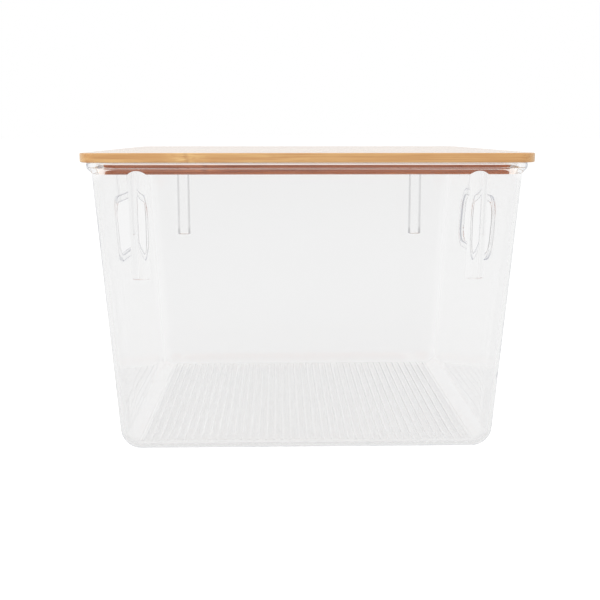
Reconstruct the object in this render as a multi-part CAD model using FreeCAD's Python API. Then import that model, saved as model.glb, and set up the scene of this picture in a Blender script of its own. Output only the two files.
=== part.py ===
import FreeCAD, Part
import math
import os

# Clear lidded storage bin: one moulded clear tub and a lift-off laminated bamboo lid.
# Millimetres. X is left to right, Y is front (-) to back (+), Z is up.
# The origin is the centre of the tub's footprint on the plane it stands on.
# HX and HY are half sizes in X and Y.

V = FreeCAD.Vector
os.makedirs("parts", exist_ok=True)

# ---- tub dimensions ----------------------------------------------------------
TUB_H = 204.1            # height of the rim's top plane
WALL_Z = 197.3           # height at which the wall is measured
WALL_HX = 144.76         # wall's outer face at WALL_Z
WALL_HY = 134.76
DRAFT = 0.0563           # wall taper: millimetres inwards per millimetre down
SLOPE = math.hypot(1.0, DRAFT)   # length along the wall per millimetre of height
WALL_T = 2.3
FLOOR_T = 2.5
CORNER_TOP_R = 17.0      # upright corner radius of the wall at WALL_Z
CORNER_FOOT_R = 16.0     # and at the foot
FOOT_R = 14.5            # outer radius where the walls turn into the floor
OUTER_OVERLAP = 3.0      # the outer form runs this far up into the rim
CAVITY_OVERRUN = 4.0     # the hollow's cutter runs this far above the rim

# rim
RIM_HX = 148.0
RIM_HY = 138.0
RIM_Z = 200.2            # lower edge of the rim's upright face
COVE_Z = 196.5           # where the rim's sloping underside meets the wall
RIM_TOP_R = 0.9
RIM_LOW_R = 1.0
MOUTH_R = 0.7            # round on the rim's inner top edge
MOUTH_INSET = 3.0        # the mouth's edge lies further in from the rim's face than this

# nesting bars, two on the front wall and two on the back wall: smooth low bars on
# the outside whose flat shoulder stops one tub from jamming inside another
NEST_X = 112.3
NEST_W = 12.0
NEST_OUT = 2.0           # how far the bar's crown stands out of the wall
NEST_ROOT = 1.2          # how far the bar is sunk into the wall
NEST_Z = 126.5           # flat shoulder at the lower end
NEST_TOP_Z = RIM_Z + 0.6
NEST_END_R = 1.0         # small round where the crown turns into the shoulder

# finger slots in the two end walls
SLOT_Y = -5.0            # the slot sits a little towards the front
SLOT_Z = 151.3           # height of the slot's centre
SLOT_L = 106.0
SLOT_H = 40.0
SLOT_R = 13.0            # corner radius of the opening
SLOT_LIP_W = 5.2         # width of the raised lip round the opening
SLOT_LIP_OUT = 1.8       # the lip stands out of the wall by this much
SLOT_LIP_IN = 0.15       # and into the tub by this much
SLOT_EDGE_R = 0.8
SLOT_OVERRUN = 5.0       # the opening's cutter passes the lip by this much on each side

# ribbed floor
RIB_N = 41
RIB_PITCH = 6.0
RIB_W = 2.5              # width at the sunken base
RIB_H = 0.20
RIB_ROOT = 0.15          # how far the rib is sunk into the floor
RIB_HY = 106.2

# ---- lid dimensions ----------------------------------------------------------
# board
LID_Z = TUB_H + 0.1      # underside of the board, a hair above the rim
LID_HX = 150.0
LID_HY = 140.0
LID_T = 6.3
LID_R = 12.0
LID_EDGE_R = 1.0
LID_STRIPS = 14

# locating plug glued under the board
PLUG_HX = 137.0
PLUG_HY = 127.0
PLUG_T = 4.0
PLUG_R = 10.0
PLUG_EDGE_R = 0.6
PLUG_STRIPS = 13
STEP_D = 2.2             # depth of the step cut round the plug's upper edge
WEB_T = 1.2              # height of that step, and thickness of the seal's web
STEP_Z = LID_Z - WEB_T

# seal: a flat web gripped between the plug and the board, with a round bead outside
BEAD_T = 1.5             # height of the bead
BEAD_W = 1.7             # width of the bead
BEAD_R = 0.6
BEAD_TOP_Z = LID_Z - 0.1
SEAL_OUT = 5.2           # how far the bead stands out from the plug
SEAL_HX = PLUG_HX + SEAL_OUT
SEAL_HY = PLUG_HY + SEAL_OUT
SEAL_R = 14.4

CUT_MARGIN = 5.0         # how far the lid's cutters pass what they cut


# ---- helpers -----------------------------------------------------------------
def wire_through(arcs):
    """Closed wire of arcs (start, middle, end), each joined to the next by a line."""
    edges = []
    for i, (start, middle, end) in enumerate(arcs):
        next_start = arcs[(i + 1) % len(arcs)][0]
        edges.append(Part.Arc(start, middle, end).toShape())
        edges.append(Part.LineSegment(end, next_start).toShape())
    return Part.Wire(edges)


def rounded_wire(hx, hy, radius, z):
    """Level rectangle with round corners, at height z."""
    nip = radius * (1.0 - math.sqrt(0.5))
    arcs = []
    for sx, sy in ((1, -1), (1, 1), (-1, 1), (-1, -1)):
        arc = [V(sx * (hx - radius), sy * hy, z),
               V(sx * (hx - nip), sy * (hy - nip), z),
               V(sx * hx, sy * (hy - radius), z)]
        if sx * sy > 0:
            arc.reverse()
        arcs.append(arc)
    return wire_through(arcs)


def slab(hx, hy, radius, z0, z1):
    """Upright prism with round corners."""
    return Part.Face(rounded_wire(hx, hy, radius, z0)).extrude(V(0, 0, z1 - z0))


def taper(lower, upper):
    """Ruled solid between two rounded rectangles given as (hx, hy, radius, z)."""
    return Part.makeLoft([rounded_wire(*lower), rounded_wire(*upper)], True, True)


def wall_x(z):
    return WALL_HX - DRAFT * (WALL_Z - z)


def wall_y(z):
    return WALL_HY - DRAFT * (WALL_Z - z)


def corner_radius(z):
    return CORNER_FOOT_R + (CORNER_TOP_R - CORNER_FOOT_R) * z / WALL_Z


def outer_section(z):
    return (wall_x(z), wall_y(z), corner_radius(z), z)


def inner_section(z):
    inset = WALL_T * SLOPE
    return (wall_x(z) - inset, wall_y(z) - inset, corner_radius(z) - WALL_T, z)


def edges_at(shape, z, tol=0.02):
    """Edges that lie level at height z."""
    return [edge for edge in shape.Edges
            if abs(edge.BoundBox.ZMin - z) < tol and abs(edge.BoundBox.ZMax - z) < tol]


def middle_of(edge):
    return edge.valueAt((edge.FirstParameter + edge.LastParameter) / 2.0)


def save(shape, node):
    solids = shape.removeSplitter().Solids
    if len(solids) != 1 or not solids[0].isValid():
        raise RuntimeError("%s is not one valid solid (%d)" % (node, len(solids)))
    solids[0].exportStep("parts/%s.step" % node)


def save_strips(panel, hx, hy, z0, thickness, count, name):
    """Cut a panel into left-to-right strips, numbered from the front, and save each."""
    width = 2 * hy / count
    for i in range(count):
        corner = V(-hx - CUT_MARGIN, -hy + i * width, z0 - CUT_MARGIN)
        box = Part.makeBox(2 * (hx + CUT_MARGIN), width, thickness + 2 * CUT_MARGIN, corner)
        save(panel.common(box), "%s_strip_%02d" % (name, i + 1))


# ---- tub ---------------------------------------------------------------------
def make_outer():
    """Tapered block with a wide foot radius."""
    outer = taper(outer_section(0.0), outer_section(COVE_Z + OUTER_OVERLAP))
    return outer.makeFillet(FOOT_R, edges_at(outer, 0.0))


def make_rim():
    """Sloping underside, then an upright lip up to the top plane."""
    radius = corner_radius(RIM_Z) + RIM_HX - wall_x(RIM_Z)
    cove = taper(outer_section(COVE_Z), (RIM_HX, RIM_HY, radius, RIM_Z))
    lip = slab(RIM_HX, RIM_HY, radius, RIM_Z, TUB_H)
    rim = cove.fuse(lip).removeSplitter()
    rim = rim.makeFillet(RIM_LOW_R, edges_at(rim, RIM_Z))
    return rim.makeFillet(RIM_TOP_R, edges_at(rim, TUB_H))


def make_nesting_bar(sx, sy):
    """Bar that follows the slope of the wall, a segment of a circle in section."""
    out = V(0, sy / SLOPE, -DRAFT / SLOPE)
    up = V(0, sy * DRAFT / SLOPE, 1.0 / SLOPE)
    origin = V(sx * NEST_X, sy * wall_y(NEST_Z), NEST_Z)

    def at(across, outwards):
        return origin + V(across, 0, 0) + out * outwards

    half = NEST_W / 2.0
    left, right = at(-half, 0), at(half, 0)
    left_root, right_root = at(-half, -NEST_ROOT), at(half, -NEST_ROOT)
    section = Part.Wire([Part.Arc(left, at(0, NEST_OUT), right).toShape(),
                         Part.LineSegment(right, right_root).toShape(),
                         Part.LineSegment(right_root, left_root).toShape(),
                         Part.LineSegment(left_root, left).toShape()])
    bar = Part.Face(section).extrude(up * ((NEST_TOP_Z - NEST_Z) * SLOPE))
    # only the crown's arc at the lower end is rounded
    shoulder = []
    for edge in bar.Edges:
        offset = middle_of(edge) - origin
        if abs(offset.dot(up)) < 0.01 and offset.dot(out) > 0.2:
            shoulder.append(edge)
    return bar.makeFillet(NEST_END_R, shoulder)


def make_slot(sx):
    """Raised lip and opening cutter of one finger slot, square to its sloping wall."""
    out = V(sx / SLOPE, 0, -DRAFT / SLOPE)
    up = V(sx * DRAFT / SLOPE, 0, 1.0 / SLOPE)
    along = out.cross(up)
    centre = V(sx * wall_x(SLOT_Z), SLOT_Y, SLOT_Z)
    inner = -WALL_T - SLOT_LIP_IN

    def prism(border, start, end):
        """The opening's outline grown by border, extruded along the wall's normal."""
        radius = SLOT_R + border
        half_l, half_h = SLOT_L / 2.0 - SLOT_R, SLOT_H / 2.0 - SLOT_R
        diagonal = radius * math.sqrt(0.5)
        arcs = []
        for a, b in ((1, 1), (1, -1), (-1, -1), (-1, 1)):
            pivot = centre + out * start + along * (a * half_l) + up * (b * half_h)
            arc = [pivot + up * (b * radius),
                   pivot + along * (a * diagonal) + up * (b * diagonal),
                   pivot + along * (a * radius)]
            if a * b < 0:
                arc.reverse()
            arcs.append(arc)
        return Part.Face(wire_through(arcs)).extrude(out * (end - start))

    lip = prism(SLOT_LIP_W, inner, SLOT_LIP_OUT)
    opening = prism(0.0, inner - SLOT_OVERRUN, SLOT_LIP_OUT + SLOT_OVERRUN)
    lip = lip.cut(opening)
    rims = []
    for edge in lip.Edges:
        depth = (middle_of(edge) - centre).dot(out)
        if abs(depth - SLOT_LIP_OUT) < 0.01 or abs(depth - inner) < 0.01:
            rims.append(edge)
    return lip.makeFillet(SLOT_EDGE_R, rims), opening


def make_cavity():
    """Hollow that follows the outer form at one wall thickness."""
    cavity = taper(inner_section(FLOOR_T), inner_section(TUB_H + CAVITY_OVERRUN))
    return cavity.makeFillet(FOOT_R - WALL_T, edges_at(cavity, FLOOR_T))


def is_mouth(edge):
    """True for an edge that lies well inside the rim's outer face."""
    box = edge.BoundBox
    return (max(box.XMax, -box.XMin) < RIM_HX - MOUTH_INSET
            and max(box.YMax, -box.YMin) < RIM_HY - MOUTH_INSET)


def make_floor_rib(x):
    """Low front-to-back rib on the inside of the floor."""
    base_z = FLOOR_T - RIB_ROOT
    left = V(x - RIB_W / 2.0, -RIB_HY, base_z)
    crown = V(x, -RIB_HY, FLOOR_T + RIB_H)
    right = V(x + RIB_W / 2.0, -RIB_HY, base_z)
    section = Part.Wire([Part.Arc(left, crown, right).toShape(),
                         Part.LineSegment(right, left).toShape()])
    return Part.Face(section).extrude(V(0, 2 * RIB_HY, 0))


def build_tub():
    bars = [make_nesting_bar(sx, sy) for sy in (-1, 1) for sx in (-1, 1)]
    tub = make_outer().multiFuse([make_rim()] + bars)
    tub = tub.cut(make_cavity())
    tub = tub.makeFillet(MOUTH_R, [edge for edge in edges_at(tub, TUB_H) if is_mouth(edge)])
    # the openings are cut before the lips go in, so the lips stay whole
    slots = [make_slot(sx) for sx in (-1, 1)]
    tub = tub.cut(Part.makeCompound([opening for lip, opening in slots]))
    tub = tub.multiFuse([lip for lip, opening in slots])
    tub = tub.multiFuse([make_floor_rib((i - (RIB_N - 1) / 2.0) * RIB_PITCH)
                         for i in range(RIB_N)])
    save(tub, "tub")


# ---- lid ---------------------------------------------------------------------
def build_board():
    """Bamboo strips glued edge to edge."""
    top_z = LID_Z + LID_T
    board = slab(LID_HX, LID_HY, LID_R, LID_Z, top_z)
    board = board.makeFillet(LID_EDGE_R, edges_at(board, LID_Z) + edges_at(board, top_z))
    save_strips(board, LID_HX, LID_HY, LID_Z, LID_T, LID_STRIPS, "lid")


def plug_neck(z0, z1):
    """The plug's outline inside the step."""
    return slab(PLUG_HX - STEP_D, PLUG_HY - STEP_D, PLUG_R - STEP_D, z0, z1)


def build_plug():
    """Thinner laminated panel with a step round its upper edge."""
    bottom_z = LID_Z - PLUG_T
    plug = slab(PLUG_HX, PLUG_HY, PLUG_R, bottom_z, LID_Z)
    plug = plug.makeFillet(PLUG_EDGE_R, edges_at(plug, bottom_z))
    blank = slab(PLUG_HX + CUT_MARGIN, PLUG_HY + CUT_MARGIN, PLUG_R + CUT_MARGIN,
                 STEP_Z, LID_Z + 1)
    plug = plug.cut(blank.cut(plug_neck(STEP_Z, LID_Z + 1)))
    save_strips(plug, PLUG_HX, PLUG_HY, bottom_z, PLUG_T, PLUG_STRIPS, "plug")


def build_seal():
    """Soft clear ring: its web is gripped in the step, its bead reaches the tub wall."""
    bottom_z = BEAD_TOP_Z - BEAD_T
    bead = slab(SEAL_HX, SEAL_HY, SEAL_R, bottom_z, BEAD_TOP_Z)
    bead = bead.makeFillet(BEAD_R, edges_at(bead, bottom_z) + edges_at(bead, BEAD_TOP_Z))
    inside_bead = (SEAL_HX - BEAD_W, SEAL_HY - BEAD_W, SEAL_R - BEAD_W)
    under = slab(*inside_bead, bottom_z - 1, STEP_Z)
    web = slab(*inside_bead, STEP_Z, LID_Z)
    hole = plug_neck(bottom_z - CUT_MARGIN, LID_Z + CUT_MARGIN)
    save(bead.cut(under).fuse(web).cut(hole), "lid_seal")


build_tub()
build_board()
build_plug()
build_seal()
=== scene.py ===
"""Clear plastic tub with a laminated bamboo lid, a bamboo plug under it and a milky seal.

Metres, Z up. The tub stands on z = 0, centred on the Z axis. Its front faces -Y, where
the camera is, and the bamboo grain runs along X. The shapes come from the CAD pieces;
this script adds materials, a white studio and the camera.
"""
import math

import bmesh
import bpy
from mathutils import Matrix, Vector

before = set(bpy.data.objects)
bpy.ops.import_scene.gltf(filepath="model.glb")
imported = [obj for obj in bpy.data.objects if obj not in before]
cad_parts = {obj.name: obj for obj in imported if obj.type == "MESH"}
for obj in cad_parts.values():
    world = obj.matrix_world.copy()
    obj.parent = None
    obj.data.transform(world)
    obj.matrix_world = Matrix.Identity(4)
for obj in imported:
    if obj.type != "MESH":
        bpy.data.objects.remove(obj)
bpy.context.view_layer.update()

scene = bpy.context.scene


# ---------------------------------------------------------------- node helpers
def grey(value):
    return (value, value, value, 1.0)


def linear(rgb):
    """sRGB 0-255 to a linear colour."""
    def channel(value):
        value /= 255.0
        return value / 12.92 if value <= 0.04045 else ((value + 0.055) / 1.055) ** 2.4
    return (*map(channel, rgb), 1.0)


class Graph:
    """Builds the node tree of a material or world. Most helpers return an output socket."""

    def __init__(self, owner):
        self.owner = owner
        owner.use_nodes = True
        self.tree = owner.node_tree
        self.tree.nodes.clear()

    def add(self, kind, inputs=None, **settings):
        """New node; inputs maps a socket name or index to a value or a socket."""
        node = self.tree.nodes.new(kind)
        for name, value in settings.items():
            setattr(node, name, value)
        for key, value in (inputs or {}).items():
            if isinstance(value, bpy.types.NodeSocket):
                self.tree.links.new(value, node.inputs[key])
            else:
                node.inputs[key].default_value = value
        return node

    def math(self, operation, *values, clamp=False):
        inputs = dict(enumerate(values))
        return self.add("ShaderNodeMath", inputs, operation=operation, use_clamp=clamp).outputs[0]

    def times(self, first, *others, clamp=False):
        for other in others:
            first = self.math("MULTIPLY", first, other, clamp=clamp)
        return first

    def minus(self, first, second, clamp=False):
        return self.math("SUBTRACT", first, second, clamp=clamp)

    def fit(self, value, scale, offset, clamp=False):
        """value * scale + offset"""
        return self.math("MULTIPLY_ADD", value, scale, offset, clamp=clamp)

    def vector(self, operation, *values):
        inputs = dict(enumerate(values))
        return self.add("ShaderNodeVectorMath", inputs, operation=operation).outputs[0]

    def separate(self, vector):
        return self.add("ShaderNodeSeparateXYZ", {0: vector}).outputs

    def noise(self, place, scale, detail=2.0, roughness=0.5, distortion=0.0):
        inputs = {"Vector": place, "Scale": scale, "Detail": detail,
                  "Roughness": roughness, "Distortion": distortion}
        return self.add("ShaderNodeTexNoise", inputs).outputs[0]

    def ramp(self, value, stops):
        """Linear ramp; stops are (position, grey level or RGBA colour)."""
        node = self.add("ShaderNodeValToRGB", {0: value})
        elements = node.color_ramp.elements
        while len(elements) < len(stops):
            elements.new(0.5)
        for element, (position, tone) in zip(elements, stops):
            element.position = position
            element.color = grey(tone) if isinstance(tone, float) else tone
        return node.outputs[0]

    def fade_in(self, value, start, end):
        return self.ramp(value, [(start, 0.0), (end, 1.0)])

    def fade_out(self, value, start, end):
        return self.ramp(value, [(start, 1.0), (end, 0.0)])

    def mix(self, amount, first, second, blend="MIX"):
        inputs = {0: amount, 6: first, 7: second}
        node = self.add("ShaderNodeMix", inputs, data_type="RGBA", blend_type=blend)
        return node.outputs[2]

    def mix_shader(self, amount, first, second):
        return self.add("ShaderNodeMixShader", {0: amount, 1: first, 2: second}).outputs[0]

    def shader(self, kind, inputs):
        return self.add("ShaderNode" + kind, inputs).outputs[0]

    def bump(self, height, strength, distance):
        inputs = {"Strength": strength, "Distance": distance, "Height": height}
        return self.add("ShaderNodeBump", inputs).outputs[0]

    def light_path(self):
        return self.add("ShaderNodeLightPath").outputs

    def finish(self, shader, kind="ShaderNodeOutputMaterial"):
        self.add(kind, {"Surface": shader})
        return self.owner


def new_material(name):
    return Graph(bpy.data.materials.new(name))


# ---------------------------------------------------------------- clear plastic
WALL_LEAN = 0.0563          # outward run of the tub walls per unit of height
BACK_WALL_Y = 0.12365       # back wall, carried down to z = 0
CORNER_X = 0.11715          # where the upright corners begin, carried down to z = 0
CORNER_Y = 0.10515
RIB_X = 0.1123              # middle of the two ribs on the back wall
RIB_REACH = 0.0064          # half width of the zone that holds a rib
RIB_TOP_Z = 0.197
WALL_SKIN = 0.00008         # surface this far out from the back wall belongs to a rib
FLOOR_RIB_BASE_Z = 0.0025   # foot of the ribs on the tub floor

# box masks: middle, half size and width of the soft border
FLOOR_PATCH = dict(middle=(0.0, 0.0, 0.0028), half=(0.1225, 0.1072, 0.0012), border=0.0004)
SLOT_LIPS = dict(middle=(0.0, 0.0, 0.1513), half=(0.2, 0.068, 0.034), border=0.002)
CORNER_SPAN = dict(middle=(0.0, 0.0, 0.102), half=(0.2, 0.2, 0.092), border=0.004)

CLEAR = (0.99, 0.99, 0.99, 1)
# painted shade: dark flanks of the back wall ribs, for the dark surroundings they refract
RIB_PAINTED_SHADE = (0.33, 0.33, 0.345, 1)
PATCH_GREY = (0.915, 0.915, 0.91, 1)
# painted highlight: faint glow of the lines on the floor ribs
LINE_HIGHLIGHT_GLOW = (1.0, 1.0, 0.995, 1)
WALL_TONE = (0.60, 0.61, 0.64, 1)   # light trapped in thin walls
LIP_TONE = (0.27, 0.29, 0.38, 1)    # light trapped in the thick lips of the finger slots
TRAPPED_DEPTH = 11.5                # bounces after which light counts as trapped


def trapped(graph, path, shader, tone):
    """Swap light that has run a long way inside the material for an even tone."""
    deep = graph.math("GREATER_THAN", path["Ray Depth"], TRAPPED_DEPTH)
    return graph.mix_shader(deep, shader, graph.shader("Emission", {"Color": tone}))


def box_mask(graph, place, middle, half, border):
    """1 inside a box, 0 outside it."""
    offset = graph.vector("ABSOLUTE", graph.vector("SUBTRACT", place, middle))
    return graph.times(*[
        graph.fit(graph.minus(reach, distance), scale=1.0 / border, offset=0.5, clamp=True)
        for reach, distance in zip(half, graph.separate(offset))])


def painted_rib_flank_shade(graph, x, y, z, wave):
    """Mask of painted shade on the flanks of the two back wall ribs, for the dark surroundings
    they refract; weaker above z = 0.13.
    """
    wall = graph.fit(z, scale=WALL_LEAN, offset=BACK_WALL_Y)
    stand_out = graph.minus(y, wall)
    from_rib = graph.math("ABSOLUTE", graph.minus(graph.math("ABSOLUTE", x), RIB_X))
    # ramp positions in units of 4 mm out from the wall and of 200 mm in height
    near_wall = graph.fade_out(graph.times(stand_out, 250.0), start=0.24, end=0.35)
    low = graph.ramp(graph.times(z, 5.0), [(0.650, 1.0), (0.668, 0.62)])
    return graph.times(
        graph.math("GREATER_THAN", stand_out, WALL_SKIN),
        graph.math("LESS_THAN", from_rib, RIB_REACH),
        near_wall,
        graph.math("LESS_THAN", z, RIB_TOP_Z),
        graph.times(low, graph.fit(wave, scale=0.8, offset=0.6)))


def floor_rib_highlight_lines(graph, z):
    """Painted highlight: lines partway up both sides of every floor rib."""
    rise = graph.times(graph.minus(z, FLOOR_RIB_BASE_Z), 5000.0)    # 1 at 0.2 mm up
    off_line = graph.math("ABSOLUTE", graph.minus(rise, 0.45))
    return graph.minus(1.0, graph.times(off_line, 3.0), clamp=True)


def corner_shade(graph, place, x, y, z, path):
    """Slight darkening of the upright corners where they turn away from the camera."""
    past_corner = [
        graph.minus(graph.math("ABSOLUTE", axis), graph.fit(z, scale=WALL_LEAN, offset=start))
        for axis, start in ((x, CORNER_X), (y, CORNER_Y))]
    # full strength 2 mm past the start of the corner
    upright = graph.times(*[graph.times(past, 500.0, clamp=True) for past in past_corner],
                          box_mask(graph, place, **CORNER_SPAN))
    facing = graph.add("ShaderNodeLayerWeight", {"Blend": 0.5}).outputs["Facing"]
    turned = graph.fade_in(facing, start=0.16, end=0.40)
    strength = graph.times(path["Is Camera Ray"], 0.07)
    return graph.times(turned, upright, strength)


def clear_plastic():
    graph = new_material("clear_plastic")
    geometry = graph.add("ShaderNodeNewGeometry").outputs
    place = geometry["Position"]
    x, y, z = graph.separate(place)
    path = graph.light_path()

    # slow moulding waves, and a trace of haze; the ribbed floor patch is more matt
    wave = graph.noise(place, scale=22.0, detail=1.0)
    haze = graph.noise(place, scale=60.0)
    patch = box_mask(graph, place, **FLOOR_PATCH)
    roughness = graph.fit(haze, scale=0.012, offset=0.004)
    roughness = graph.fit(patch, scale=0.16, offset=roughness)

    # painted shade on the rib flanks, for the dark surroundings they refract; a slightly grey
    # floor patch with clear lines that are painted highlights
    walls = graph.mix(painted_rib_flank_shade(graph, x, y, z, wave), CLEAR, RIB_PAINTED_SHADE)
    lines = floor_rib_highlight_lines(graph, z)
    patch_colour = graph.mix(lines, PATCH_GREY, CLEAR)

    # the lines glow faintly as a painted highlight, more on the side that faces +X
    face_x = graph.separate(geometry["True Normal"])[0]
    line_highlight = graph.fit(graph.math("GREATER_THAN", face_x, 0.0), scale=0.12, offset=0.065)

    plastic = graph.shader("BsdfPrincipled", {
        "Base Color": graph.mix(patch, walls, patch_colour),
        "Emission Color": LINE_HIGHLIGHT_GLOW,
        "Emission Strength": graph.times(lines, patch, line_highlight),
        "Transmission Weight": 1.0,
        "IOR": 1.5,
        "Roughness": roughness,
        "Normal": graph.bump(wave, strength=0.05, distance=0.0006)})

    lip_cloud = graph.ramp(graph.noise(place, scale=70.0), [(0.35, 0.75), (0.6, 1.0)])
    lips = graph.times(box_mask(graph, place, **SLOT_LIPS), lip_cloud)
    tone = graph.mix(lips, WALL_TONE, LIP_TONE)
    seen = graph.mix_shader(corner_shade(graph, place, x, y, z, path),
                            trapped(graph, path, plastic, tone),
                            graph.shader("Emission", {"Color": grey(0.0)}))

    # shadow and diffuse rays pass straight through
    passing = graph.math("MAXIMUM", path["Is Shadow Ray"], path["Is Diffuse Ray"])
    see_through = graph.shader("BsdfTransparent", {"Color": (0.975, 0.98, 0.98, 1)})
    return graph.finish(graph.mix_shader(passing, seen, see_through))


# ---------------------------------------------------------------- bamboo
# sRGB tones: two that streak into each other, a broad drift, dark and light fibre, end grain
BOARD_TONES = dict(main=(199, 155, 94), streak=(180, 128, 70), drift=(190, 140, 80),
                   dark=(147, 95, 45), light=(221, 186, 120), end=(203, 165, 105))
# the plug's tones are darker and redder than the board's: painted shade, for the plug in shadow
# under the board
PLUG_TONES_PAINTED_SHADE = dict(main=(184, 107, 63), streak=(148, 75, 38), drift=(168, 92, 52),
                  dark=(110, 49, 22), light=(202, 126, 77), end=(180, 116, 69))
PLUG_DEPTH = 254.0      # mm along Y
PLUG_STRIPS = 13
BOW_RANGE = 9.0         # mm that a node band wanders along the grain
GLUE_WIDTH = 0.20       # mm on each side of a joint


def bamboo(name, tones, strip_width, first_edge, seed, roughness, coat, contrast,
           first_node=None):
    """Laminated bamboo, measured in mm, with its strips laid side by side along Y.

    Each strip has its own tone, grain offset and node band. first_edge is the Y of the
    first strip's edge; first_node fixes the X of the node band on that strip.
    """
    graph = new_material(name)
    colours = {key: linear(rgb) for key, rgb in tones.items()}
    geometry = graph.add("ShaderNodeNewGeometry").outputs
    local = graph.add("ShaderNodeTexCoord").outputs["Object"]
    x, y, z = [graph.times(axis, 1000.0) for axis in graph.separate(local)]

    def strip_place(operation):
        """FLOOR gives the strip number, FRACT the place across the strip."""
        from_edge = graph.minus(y, first_edge)
        return graph.math(operation, graph.math("DIVIDE", from_edge, strip_width))

    strip = strip_place("FLOOR")
    strip_key = graph.math("ADD", strip, seed)

    def random(offset):
        """A value from 0 to 1 for each strip; each offset gives another draw."""
        key = graph.math("ADD", graph.times(strip_key, 1.37), offset)
        node = graph.add("ShaderNodeTexWhiteNoise", {"W": key}, noise_dimensions="1D")
        return node.outputs["Value"]

    # grain space: place in mm, shifted at random for each strip (axis, draw, range)
    shifted = [graph.math("ADD", axis, graph.times(random(draw), shift_range))
               for axis, draw, shift_range in ((x, 3.1, 900.0), (y, 5.7, 50.0), (z, 9.2, 30.0))]
    grain = graph.add("ShaderNodeCombineXYZ", dict(enumerate(shifted))).outputs[0]

    def grain_noise(stretch, **settings):
        return graph.noise(graph.vector("MULTIPLY", grain, stretch), scale=1.0, **settings)

    fibre = grain_noise((0.020, 2.3, 2.3), detail=3.0, roughness=0.6)
    streak = grain_noise((0.022, 0.42, 0.42), detail=3.0, roughness=0.55, distortion=0.4)
    broad = grain_noise((0.011, 0.10, 0.10))
    pore = grain_noise((0.11, 3.6, 3.6), detail=1.0)

    # node bands: one across each strip, slightly bowed, with flames of light fibre around it
    node_x = graph.fit(random(1.3), scale=260.0, offset=-130.0)
    if first_node is not None:
        is_first = graph.math("COMPARE", strip, 0.0, 0.5)
        node_x = graph.math("ADD", graph.times(node_x, graph.minus(1.0, is_first)),
                            graph.times(is_first, first_node))
    bow = graph.times(grain_noise((0.02, 0.30, 0.45), roughness=0.6), BOW_RANGE)

    def node_band(half_width):
        middle = graph.math("ADD", node_x, BOW_RANGE / 2)
        distance = graph.math("ABSOLUTE", graph.minus(graph.math("ADD", x, bow), middle))
        return graph.minus(1.0, graph.math("DIVIDE", distance, half_width), clamp=True)

    flame_noise = grain_noise((0.10, 0.8, 1.1), roughness=0.6, distortion=0.8)
    flame = graph.fade_in(flame_noise, start=0.42, end=0.60)

    def layer(mask, strength):
        return graph.times(mask, strength, clamp=True)

    # face grain, layer by layer: mask, then tone laid on
    face = graph.mix(graph.fade_in(streak, start=0.34, end=0.66),
                     colours["main"], colours["streak"])
    for mask, tone in (
            (layer(graph.fade_in(broad, start=0.35, end=0.65), 0.6 * contrast), "drift"),
            (layer(graph.fade_out(fibre, start=0.30, end=0.48), 0.40 * contrast), "dark"),
            (layer(graph.fade_in(fibre, start=0.58, end=0.74), 0.42 * contrast), "light"),
            (layer(graph.fade_out(pore, start=0.26, end=0.36), 0.30), "dark"),
            (graph.times(node_band(half_width=16.0), flame, 0.75), "light"),
            (graph.times(node_band(half_width=2.2), 0.40), "dark")):
        face = graph.mix(mask, face, colours[tone])
    face = graph.add("ShaderNodeHueSaturation", {
        "Value": graph.fit(random(7.9), scale=0.18, offset=0.91),
        "Saturation": graph.fit(random(2.4), scale=0.22, offset=0.9),
        "Color": face}).outputs[0]

    # dark glue line between strips, left out on surfaces that face along Y
    normal_x, normal_y, _ = graph.separate(geometry["Normal"])
    across = strip_place("FRACT")
    to_joint = graph.math("MINIMUM", across, graph.minus(1.0, across))
    joint_mm = graph.times(to_joint, strip_width)
    glue = graph.minus(1.0, graph.math("DIVIDE", joint_mm, GLUE_WIDTH), clamp=True)
    facing_y = graph.math("ABSOLUTE", normal_y)
    glue = graph.times(glue, graph.minus(1.0, facing_y, clamp=True))
    glue_colour = (*[0.6 * value for value in colours["dark"][:3]], 1.0)
    colour = graph.mix(graph.times(glue, 0.5), face, glue_colour)

    # end grain: dots of fibre bundles on surfaces that face along X
    end_mask = graph.fit(graph.math("ABSOLUTE", normal_x), scale=2.2, offset=-1.2, clamp=True)
    cells = graph.add("ShaderNodeTexVoronoi", {
        "Vector": graph.vector("MULTIPLY", grain, (0.02, 1.0, 1.0)),
        "Scale": 1.7}, feature="F1")
    dots = graph.fade_out(cells.outputs["Distance"], start=0.14, end=0.36)
    end_grain = graph.mix(graph.times(dots, 0.55), colours["end"], colours["dark"])
    end_grain = graph.mix(graph.times(broad, 0.35), end_grain, colours["streak"])
    colour = graph.mix(graph.times(end_mask, 0.85), colour, end_grain)

    # relief: raised fibre and pores, sunken glue lines
    height = graph.math("ADD", graph.times(fibre, 0.6), graph.times(pore, 0.3))
    height = graph.minus(height, graph.times(glue, 0.5))
    return graph.finish(graph.shader("BsdfPrincipled", {
        "Base Color": colour,
        "Roughness": graph.fit(fibre, scale=0.16, offset=roughness),
        "Specular IOR Level": 0.35,
        "Coat Weight": coat,
        "Coat Roughness": graph.fit(pore, scale=0.06, offset=0.05),
        "Normal": graph.bump(height, strength=0.16, distance=0.0003)}))


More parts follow.
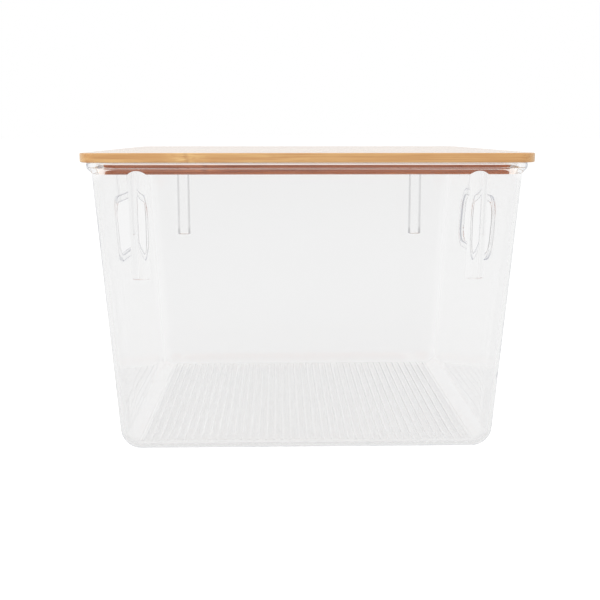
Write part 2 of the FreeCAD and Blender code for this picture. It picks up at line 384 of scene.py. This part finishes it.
# ---------------------------------------------------------------- silicone
def milky_silicone():
    graph = new_material("milky_silicone")
    local = graph.add("ShaderNodeTexCoord").outputs["Object"]
    path = graph.light_path()
    fine = graph.noise(local, scale=900.0)
    cloud = graph.ramp(graph.noise(local, scale=140.0),
                       [(0.3, (0.95, 0.90, 0.86, 1)), (0.7, (0.99, 0.955, 0.925, 1))])
    silicone = graph.shader("BsdfPrincipled", {
        "Base Color": cloud,
        "Transmission Weight": 0.2,
        # warm light that the soft ring passes on from the rim of the tub
        "Emission Color": graph.mix(0.5, cloud, (1.0, 0.86, 0.76, 1), "MULTIPLY"),
        "Emission Strength": 0.26,
        "IOR": 1.41,
        "Roughness": graph.fit(fine, scale=0.12, offset=0.10),
        "Normal": graph.bump(fine, strength=0.1, distance=0.0002)})
    shadow = graph.shader("BsdfTransparent", {"Color": (0.8, 0.8, 0.8, 1)})
    return graph.finish(graph.mix_shader(
        path["Is Shadow Ray"], trapped(graph, path, silicone, WALL_TONE), shadow))


# ---------------------------------------------------------------- dress the pieces
tub_material = clear_plastic()
board_material = bamboo("bamboo_board", BOARD_TONES, strip_width=20.0, first_edge=-140.0,
                        seed=0.0, roughness=0.34, coat=0.9, contrast=1.1, first_node=-79.0)
# painted shade: the plug's bamboo, darker and redder than the board
plug_material_painted_shade = bamboo("bamboo_plug", PLUG_TONES_PAINTED_SHADE, strip_width=PLUG_DEPTH / PLUG_STRIPS,
                       first_edge=-PLUG_DEPTH / 2, seed=40.0, roughness=0.46, coat=0.15,
                       contrast=1.2)
seal_material = milky_silicone()

for piece_name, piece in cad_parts.items():
    if piece_name == "tub":
        material = tub_material
    elif piece_name.startswith("lid_strip"):
        material = board_material
    elif piece_name.startswith("plug_strip"):
        material = plug_material_painted_shade
    else:
        material = seal_material
    piece.data.materials.clear()
    piece.data.materials.append(material)

# ---------------------------------------------------------------- studio
# Brightness of the surroundings by ray direction: 0 is back past the lens, 1 is straight
# ahead. The backdrop ahead is white, the room behind is calmer.
AHEAD_STOPS = [(0.0, 0.34), (0.34, 0.40), (0.45, 0.82), (0.56, 0.965), (1.0, 0.965)]
# dimming of the floor from a grazing view (0) to straight down (1)
STEEP_STOPS = [(0.0, 1.0), (0.27, 1.0), (0.40, 0.955), (0.62, 0.86), (1.0, 0.78)]
# diffuse light by height: 0 is straight down, 1 is straight up
DOME_STOPS = [(0.0, 0.92), (0.5, 0.92), (0.75, 1.2), (1.0, 1.5)]
FLOOR_RADIUS = 30.0
FLOOR_Z = -0.0002       # just under the tub


def floor_material():
    """A floor that glows to match the surround in every reflection."""
    graph = new_material("studio_floor")
    path = graph.light_path()
    incoming = graph.add("ShaderNodeNewGeometry").outputs["Incoming"]
    to_camera = graph.add("ShaderNodeVectorTransform", {0: incoming}, vector_type="VECTOR",
                          convert_from="WORLD", convert_to="CAMERA").outputs[0]
    toward = graph.fit(graph.separate(to_camera)[2], scale=-0.5, offset=0.5)
    ahead = graph.ramp(toward, AHEAD_STOPS)
    steep = graph.ramp(graph.math("ABSOLUTE", graph.separate(incoming)[2]), STEEP_STOPS)
    glow = graph.mix(1.0, ahead, steep, "MULTIPLY")
    glow = graph.mix(path["Is Diffuse Ray"], glow, grey(1.0))
    glow = graph.mix(path["Is Camera Ray"], glow, grey(1.16))
    diffuse = graph.shader("BsdfDiffuse", {"Color": grey(0.06)})
    emission = graph.shader("Emission", {"Color": grey(1.0), "Strength": graph.times(glow, 0.92)})
    return graph.finish(graph.shader("AddShader", {0: diffuse, 1: emission}))


def studio_floor():
    mesh = bpy.data.meshes.new("studio_floor")
    disc = bmesh.new()
    bmesh.ops.create_circle(disc, cap_ends=True, radius=FLOOR_RADIUS, segments=96)
    disc.to_mesh(mesh)
    disc.free()
    floor = bpy.data.objects.new("studio_floor", mesh)
    floor.location = (0, 0, FLOOR_Z)
    scene.collection.objects.link(floor)
    mesh.materials.append(floor_material())


def studio_world():
    """White to the camera, AHEAD_STOPS to reflections, an even dome to diffuse light."""
    graph = Graph(bpy.data.worlds.new("studio"))
    direction = graph.add("ShaderNodeTexCoord").outputs
    path = graph.light_path()

    def by_height(vector, stops):
        unit = graph.fit(graph.separate(vector)[2], scale=0.5, offset=0.5)
        return graph.ramp(unit, stops)

    ahead = by_height(direction["Camera"], AHEAD_STOPS)
    dome = by_height(direction["Generated"], DOME_STOPS)
    seen = graph.mix(path["Is Diffuse Ray"], ahead, dome)
    seen = graph.mix(path["Is Camera Ray"], seen, grey(1.0))
    background = graph.shader("Background", {"Color": seen})
    return graph.finish(background, "ShaderNodeOutputWorld")


def softbox(name, location, target, size, power):
    """Disc light that stays out of reflections and refractions."""
    light = bpy.data.lights.new(name, "AREA")
    light.shape = "DISK"
    light.size = size
    light.energy = power
    lamp = bpy.data.objects.new(name, light)
    lamp.location = location
    lamp.rotation_mode = "QUATERNION"
    aim = Vector(target) - Vector(location)
    lamp.rotation_quaternion = aim.to_track_quat("-Z", "Y")
    lamp.visible_glossy = False
    lamp.visible_transmission = False
    scene.collection.objects.link(lamp)


studio_floor()
scene.world = studio_world()
softbox("key_softbox", location=(-0.7, -1.5, 1.1), target=(0, 0, 0.15), size=1.2, power=14.0)
softbox("fill_softbox", location=(1.3, 0.9, 1.1), target=(0, 0, 0.1), size=1.0, power=4.0)

# ---------------------------------------------------------------- camera
CAMERA_PLACE = (-0.01885, -0.6927, 0.2233)
CAMERA_YAW = -0.0234        # radians from +Y, negative turns toward +X
CAMERA_PITCH = 0.1955       # radians below the horizon

lens = bpy.data.cameras.new("camera")
lens.sensor_width = 36.0
lens.lens = 50.688
lens.clip_start = 0.01
lens.clip_end = 100.0
camera = bpy.data.objects.new("camera", lens)
scene.collection.objects.link(camera)
camera.matrix_world = (Matrix.Translation(CAMERA_PLACE)
                       @ Matrix.Rotation(CAMERA_YAW, 4, "Z")
                       @ Matrix.Rotation(math.pi / 2 - CAMERA_PITCH, 4, "X"))
scene.camera = camera

# ---------------------------------------------------------------- render
scene.view_settings.view_transform = "Standard"
scene.view_settings.look = "None"
scene.view_settings.exposure = 0.0
scene.cycles.use_denoising = True
# long light paths, for the many walls of clear plastic
scene.cycles.max_bounces = 24
scene.cycles.transmission_bounces = 24
scene.cycles.transparent_max_bounces = 32
scene.cycles.glossy_bounces = 24
scene.cycles.diffuse_bounces = 4
scene.cycles.caustics_reflective = False
scene.cycles.caustics_refractive = False
scene.cycles.sample_clamp_indirect = 3.0
